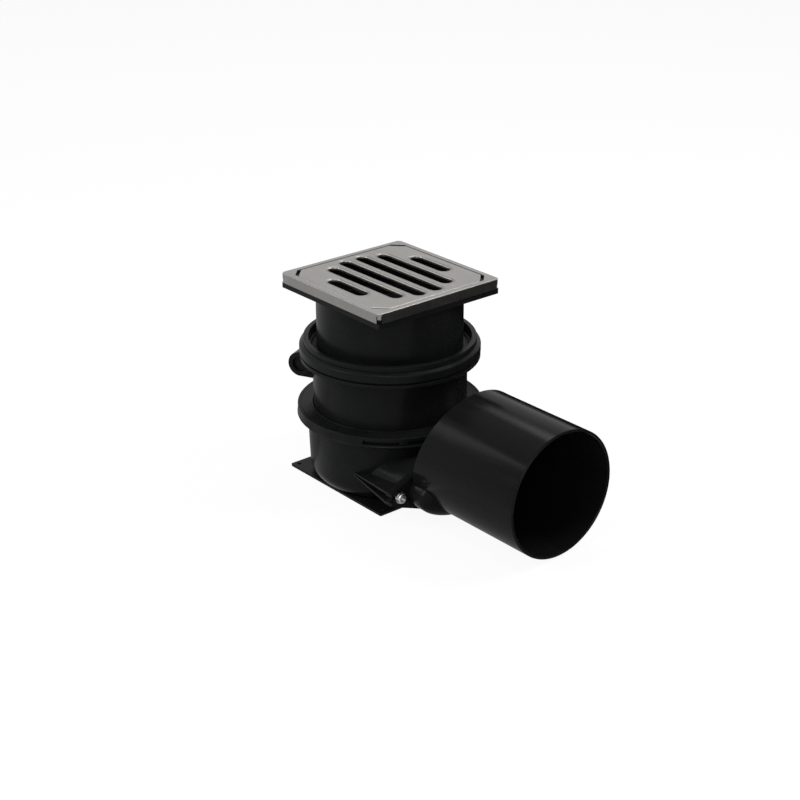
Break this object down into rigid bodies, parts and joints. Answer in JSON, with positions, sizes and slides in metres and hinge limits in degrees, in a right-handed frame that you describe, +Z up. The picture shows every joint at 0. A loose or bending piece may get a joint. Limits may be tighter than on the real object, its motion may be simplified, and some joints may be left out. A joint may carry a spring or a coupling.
{
  "type": "gully trap",
  "caption": "Round floor gully with a square slotted grate on a telescopic neck, a swivelling middle body with a side inlet, a flanged bowl and a flat outlet widening to a pipe",
  "frame": {"origin": "underside of the foot plate, on the vertical axis of the round bodies", "axes": "+X out along the outlet pipe, +Y to the left when looking out along the outlet, +Z up towards the grate"},
  "size_m": [0.333, 0.1848, 0.207],
  "materials": {
    "black_plastic": "satin",
    "stainless": "brushed",
    "seal_rubber": "matte",
    "screw_steel": "satin"
  },
  "bodies": {
    "base": {"lower_body": "black_plastic", "lower_seal": "seal_rubber", "lock_ring": "black_plastic", "outlet_adapter": "black_plastic", "outlet_seal": "seal_rubber", "clamp_screw_left": "screw_steel", "clamp_screw_right": "screw_steel", "clamp_washer_left": "screw_steel", "clamp_washer_right": "screw_steel", "clamp_nut_left": "screw_steel", "clamp_nut_right": "screw_steel"},
    "middle": {"middle_body": "black_plastic", "collar_ring": "black_plastic", "inlet_plug": "black_plastic"},
    "seal": {"neck_seal": "seal_rubber"},
    "neck": {"riser": "black_plastic", "grate_frame": "stainless", "grate_plate": "stainless", "trap_hopper": "black_plastic", "trap_cup": "black_plastic", "trap_seal": "seal_rubber"}
  },
  "joints": [
    {"name": "middle_swivel", "type": "hinge", "parent": "base", "child": "middle", "pos_m": [0, 0, 0.07], "axis": [0, 0, 1], "continuous": true},
    {"name": "neck_swivel", "type": "hinge", "parent": "middle", "child": "seal", "pos_m": [0, 0, 0.133], "axis": [0, 0, 1], "continuous": true},
    {"name": "neck_slide", "type": "slide", "parent": "seal", "child": "neck", "axis": [0, 0, 1], "range_m": [-0.045, 0.02]}
  ]
}
